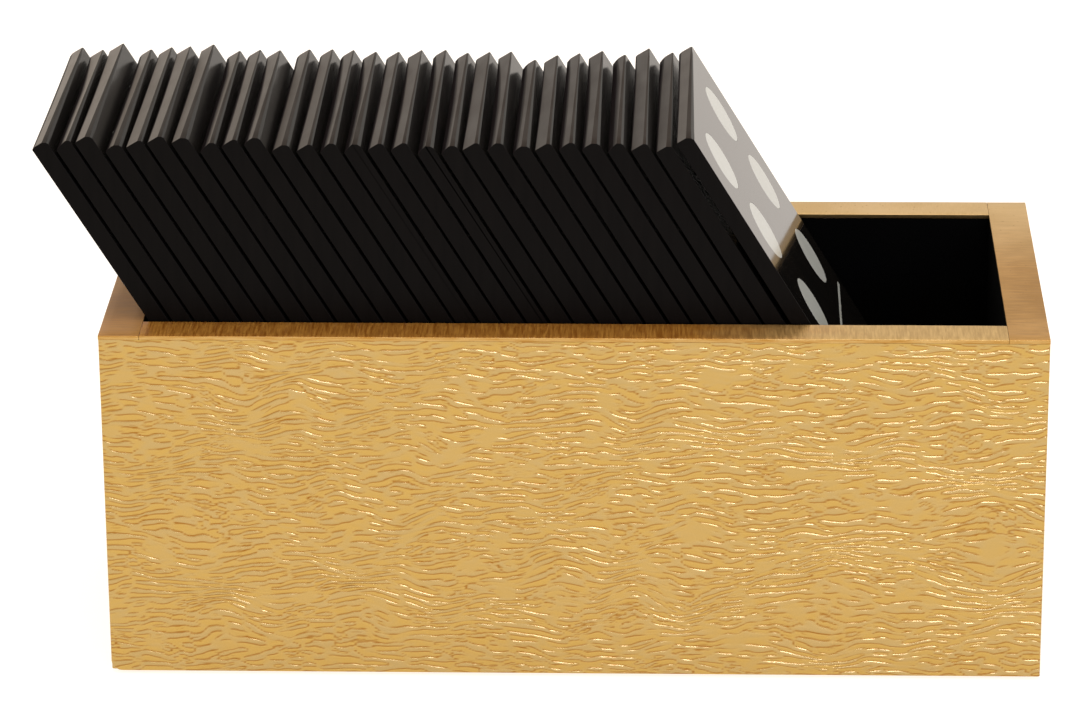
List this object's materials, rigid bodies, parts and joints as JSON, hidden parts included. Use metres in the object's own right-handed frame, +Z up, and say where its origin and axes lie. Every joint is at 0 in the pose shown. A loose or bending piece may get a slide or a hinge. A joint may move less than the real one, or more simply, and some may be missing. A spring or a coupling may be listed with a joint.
{
  "type": "domino set in a box",
  "caption": "Open brass-clad wooden box holding a leaning row of thick black dominoes with pale inlaid pips; every tile lifts out.",
  "frame": {"origin": "centre of the underside of the felt that the box stands on", "axes": "+Z up, -Y to the long front wall, +X to the end wall beside the free bay; the row of tiles leans to -X"},
  "size_m": [0.2709, 0.112, 0.1519],
  "materials": {
    "carcass_wood": "plain sawn and sanded",
    "embossed_brass": "bright, embossed with a bark grain",
    "rim_brass": "smooth, cross brushed",
    "black_lining": "black velvet",
    "base_felt": "black felt",
    "tile_horn": "polished faces, satin sawn ends",
    "inlay_bone": "flush and polished"
  },
  "bodies": {
    "box": {"panel_floor": "carcass_wood", "lining_floor": "black_lining", "base_felt": "base_felt", "panel_front": "carcass_wood", "panel_back": "carcass_wood", "panel_left": "carcass_wood", "panel_right": "carcass_wood", "brass_front": "embossed_brass", "brass_back": "embossed_brass", "brass_left": "embossed_brass", "brass_right": "embossed_brass", "rim_front": "rim_brass", "rim_back": "rim_brass", "rim_left": "rim_brass", "rim_right": "rim_brass", "lining_front": "black_lining", "lining_back": "black_lining", "lining_left": "black_lining", "lining_right": "black_lining"},
    "tile_6_6": {"tile_6_6": "tile_horn"},
    "tile_5_5": {"tile_5_5": "tile_horn"},
    "tile_6_5": {"tile_6_5": "tile_horn"},
    "tile_4_4": {"tile_4_4": "tile_horn"},
    "tile_5_4": {"tile_5_4": "tile_horn"},
    "tile_6_4": {"tile_6_4": "tile_horn"},
    "tile_3_3": {"tile_3_3": "tile_horn"},
    "tile_4_3": {"tile_4_3": "tile_horn"},
    "tile_5_3": {"tile_5_3": "tile_horn"},
    "tile_6_3": {"tile_6_3": "tile_horn"},
    "tile_2_2": {"tile_2_2": "tile_horn"},
    "tile_3_2": {"tile_3_2": "tile_horn"},
    "tile_4_2": {"tile_4_2": "tile_horn"},
    "tile_5_2": {"tile_5_2": "tile_horn"},
    "tile_6_2": {"tile_6_2": "tile_horn"},
    "tile_1_1": {"tile_1_1": "tile_horn"},
    "tile_2_1": {"tile_2_1": "tile_horn"},
    "tile_3_1": {"tile_3_1": "tile_horn"},
    "tile_4_1": {"tile_4_1": "tile_horn"},
    "tile_5_1": {"tile_5_1": "tile_horn"},
    "tile_6_1": {"tile_6_1": "tile_horn"},
    "tile_0_0": {"tile_0_0": "tile_horn"},
    "tile_1_0": {"tile_1_0": "tile_horn"},
    "tile_2_0": {"tile_2_0": "tile_horn"},
    "tile_3_0": {"tile_3_0": "tile_horn"},
    "tile_4_0": {"tile_4_0": "tile_horn"},
    "tile_5_0": {"tile_5_0": "tile_horn"},
    "tile_6_0": {"tile_6_0": "tile_horn", "pips_6_0": "inlay_bone", "divider_6_0": "inlay_bone"}
  },
  "joints": [
    {"name": "lift_tile_6_6", "type": "slide", "parent": "box", "child": "tile_6_6", "axis": [-0.5195, 0, 0.8545], "range_m": [0, 0.165]},
    {"name": "lift_tile_5_5", "type": "slide", "parent": "box", "child": "tile_5_5", "axis": [-0.5195, 0, 0.8545], "range_m": [0, 0.165]},
    {"name": "lift_tile_6_5", "type": "slide", "parent": "box", "child": "tile_6_5", "axis": [-0.5195, 0, 0.8545], "range_m": [0, 0.165]},
    {"name": "lift_tile_4_4", "type": "slide", "parent": "box", "child": "tile_4_4", "axis": [-0.5195, 0, 0.8545], "range_m": [0, 0.165]},
    {"name": "lift_tile_5_4", "type": "slide", "parent": "box", "child": "tile_5_4", "axis": [-0.5195, 0, 0.8545], "range_m": [0, 0.165]},
    {"name": "lift_tile_6_4", "type": "slide", "parent": "box", "child": "tile_6_4", "axis": [-0.5195, 0, 0.8545], "range_m": [0, 0.165]},
    {"name": "lift_tile_3_3", "type": "slide", "parent": "box", "child": "tile_3_3", "axis": [-0.5195, 0, 0.8545], "range_m": [0, 0.165]},
    {"name": "lift_tile_4_3", "type": "slide", "parent": "box", "child": "tile_4_3", "axis": [-0.5195, 0, 0.8545], "range_m": [0, 0.165]},
    {"name": "lift_tile_5_3", "type": "slide", "parent": "box", "child": "tile_5_3", "axis": [-0.5195, 0, 0.8545], "range_m": [0, 0.165]},
    {"name": "lift_tile_6_3", "type": "slide", "parent": "box", "child": "tile_6_3", "axis": [-0.5195, 0, 0.8545], "range_m": [0, 0.165]},
    {"name": "lift_tile_2_2", "type": "slide", "parent": "box", "child": "tile_2_2", "axis": [-0.5195, 0, 0.8545], "range_m": [0, 0.165]},
    {"name": "lift_tile_3_2", "type": "slide", "parent": "box", "child": "tile_3_2", "axis": [-0.5195, 0, 0.8545], "range_m": [0, 0.165]},
    {"name": "lift_tile_4_2", "type": "slide", "parent": "box", "child": "tile_4_2", "axis": [-0.5195, 0, 0.8545], "range_m": [0, 0.165]},
    {"name": "lift_tile_5_2", "type": "slide", "parent": "box", "child": "tile_5_2", "axis": [-0.5195, 0, 0.8545], "range_m": [0, 0.165]},
    {"name": "lift_tile_6_2", "type": "slide", "parent": "box", "child": "tile_6_2", "axis": [-0.5195, 0, 0.8545], "range_m": [0, 0.165]},
    {"name": "lift_tile_1_1", "type": "slide", "parent": "box", "child": "tile_1_1", "axis": [-0.5195, 0, 0.8545], "range_m": [0, 0.165]},
    {"name": "lift_tile_2_1", "type": "slide", "parent": "box", "child": "tile_2_1", "axis": [-0.5195, 0, 0.8545], "range_m": [0, 0.165]},
    {"name": "lift_tile_3_1", "type": "slide", "parent": "box", "child": "tile_3_1", "axis": [-0.5195, 0, 0.8545], "range_m": [0, 0.165]},
    {"name": "lift_tile_4_1", "type": "slide", "parent": "box", "child": "tile_4_1", "axis": [-0.5195, 0, 0.8545], "range_m": [0, 0.165]},
    {"name": "lift_tile_5_1", "type": "slide", "parent": "box", "child": "tile_5_1", "axis": [-0.5195, 0, 0.8545], "range_m": [0, 0.165]},
    {"name": "lift_tile_6_1", "type": "slide", "parent": "box", "child": "tile_6_1", "axis": [-0.5195, 0, 0.8545], "range_m": [0, 0.165]},
    {"name": "lift_tile_0_0", "type": "slide", "parent": "box", "child": "tile_0_0", "axis": [-0.5195, 0, 0.8545], "range_m": [0, 0.165]},
    {"name": "lift_tile_1_0", "type": "slide", "parent": "box", "child": "tile_1_0", "axis": [-0.5195, 0, 0.8545], "range_m": [0, 0.165]},
    {"name": "lift_tile_2_0", "type": "slide", "parent": "box", "child": "tile_2_0", "axis": [-0.5195, 0, 0.8545], "range_m": [0, 0.165]},
    {"name": "lift_tile_3_0", "type": "slide", "parent": "box", "child": "tile_3_0", "axis": [-0.5195, 0, 0.8545], "range_m": [0, 0.165]},
    {"name": "lift_tile_4_0", "type": "slide", "parent": "box", "child": "tile_4_0", "axis": [-0.5195, 0, 0.8545], "range_m": [0, 0.165]},
    {"name": "lift_tile_5_0", "type": "slide", "parent": "box", "child": "tile_5_0", "axis": [-0.5195, 0, 0.8545], "range_m": [0, 0.165]},
    {"name": "lift_tile_6_0", "type": "slide", "parent": "box", "child": "tile_6_0", "axis": [-0.5195, 0, 0.8545], "range_m": [0, 0.165]}
  ]
}
